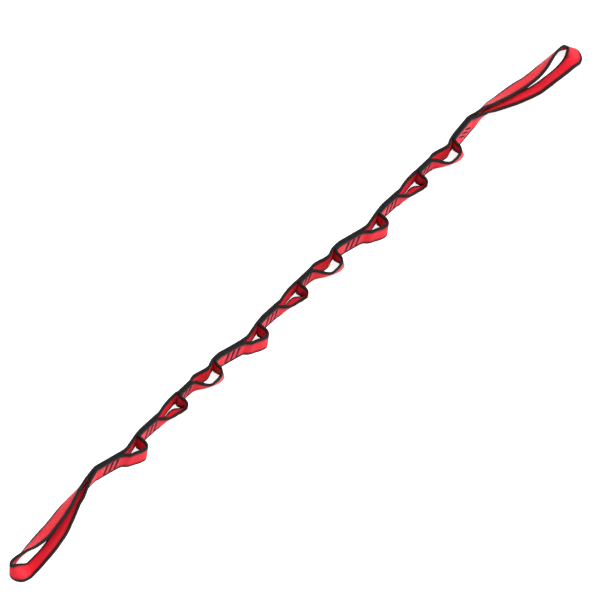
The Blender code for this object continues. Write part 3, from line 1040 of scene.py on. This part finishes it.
def add_world(strength):
    """A world that is white to the camera and lights the part softly all round."""
    world = bpy.data.worlds.new("soft_white")
    bpy.context.scene.world = world
    world.use_nodes = True
    tree = world.node_tree
    tree.nodes.clear()
    seen = add_node(tree, "LightPath").outputs["Is Camera Ray"]
    soft = add_node(tree, "Background", {"Color": (1, 1, 1, 1), "Strength": strength}).outputs[0]
    white = add_node(tree, "Background", {"Color": (1, 1, 1, 1), "Strength": 1.0}).outputs[0]
    sky = add_node(tree, "MixShader", {0: seen, 1: soft, 2: white}).outputs[0]
    add_node(tree, "OutputWorld", {"Surface": sky})


def add_sun(name, energy, direction):
    """A soft sun from this direction of the picture."""
    toward = IMAGE_RIGHT * direction[0] + IMAGE_UP * direction[1] + IMAGE_BACK * direction[2]
    bpy.ops.object.light_add(type="SUN", location=(0, 0, 2))
    light = bpy.context.object
    light.name = name
    light.data.energy = energy
    light.data.angle = math.radians(SUN_ANGLE)
    light.rotation_mode = "QUATERNION"
    light.rotation_quaternion = toward.to_track_quat("Z", "Y")


def add_camera(lens):
    """The camera that sees the part as the photograph shows it."""
    bpy.ops.object.camera_add()
    camera = bpy.context.object
    camera.data.lens = lens
    camera.data.sensor_width = SENSOR
    distance = VIEW_WIDTH * lens / SENSOR
    turn = Matrix((IMAGE_RIGHT, IMAGE_UP, IMAGE_BACK)).transposed().to_4x4()
    turn.translation = LOOK_AT + IMAGE_RIGHT * SHIFT_RIGHT + IMAGE_UP * SHIFT_UP + IMAGE_BACK * distance
    camera.matrix_world = turn
    camera.data.clip_start = distance * NEAR_CLIP
    camera.data.clip_end = distance * FAR_CLIP
    bpy.context.scene.camera = camera


class DAISY_OT_stage(bpy.types.Operator):
    """Add the floor, the lights and the camera"""

    bl_idname = "daisy.stage"
    bl_label = "Add Stage"

    def execute(self, context):
        stage = context.scene.daisy_stage
        add_floor(stage)
        add_world(stage.soft_light)
        add_sun("key_light", stage.key_light, KEY_DIRECTION)
        add_sun("rim_light", stage.rim_light, RIM_DIRECTION)
        add_camera(stage.lens)
        context.scene.view_settings.view_transform = "Standard"
        return {"FINISHED"}


class DAISY_PT_pieces(bpy.types.Panel):
    """The settings and the pieces, in the sidebar"""

    bl_label = "Climbing Daisy Chain"
    bl_idname = "DAISY_PT_pieces"
    bl_space_type = "VIEW_3D"
    bl_region_type = "UI"
    bl_category = "Daisy Chain"

    def draw(self, context):
        for settings in ("daisy_webbing", "daisy_thread", "daisy_stage"):
            group = getattr(context.scene, settings)
            for name in group.__annotations__:
                self.layout.prop(group, name)
        for operator in OPERATORS:
            self.layout.operator(operator.bl_idname)


OPERATORS = (
    DAISY_OT_end_loops,
    DAISY_OT_back_straps,
    DAISY_OT_pocket_straps,
    DAISY_OT_bar_tacks,
    DAISY_OT_stage,
)
CLASSES = (DaisyWebbing, DaisyThread, DaisyStage, *OPERATORS, DAISY_PT_pieces)


def register():
    """Register the classes, and give the scene its settings."""
    for made in CLASSES:
        bpy.utils.register_class(made)
    bpy.types.Scene.daisy_webbing = bpy.props.PointerProperty(type=DaisyWebbing)
    bpy.types.Scene.daisy_thread = bpy.props.PointerProperty(type=DaisyThread)
    bpy.types.Scene.daisy_stage = bpy.props.PointerProperty(type=DaisyStage)


def unregister():
    """Take the settings and the classes away again."""
    del bpy.types.Scene.daisy_stage
    del bpy.types.Scene.daisy_thread
    del bpy.types.Scene.daisy_webbing
    for made in reversed(CLASSES):
        bpy.utils.unregister_class(made)


def main():
    """Make the pieces and the stage."""
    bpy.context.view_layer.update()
    register()
    bpy.ops.daisy.end_loops()
    bpy.ops.daisy.back_straps()
    bpy.ops.daisy.pocket_straps()
    bpy.ops.daisy.bar_tacks()
    bpy.ops.daisy.stage()


if __name__ == "__main__":
    main()
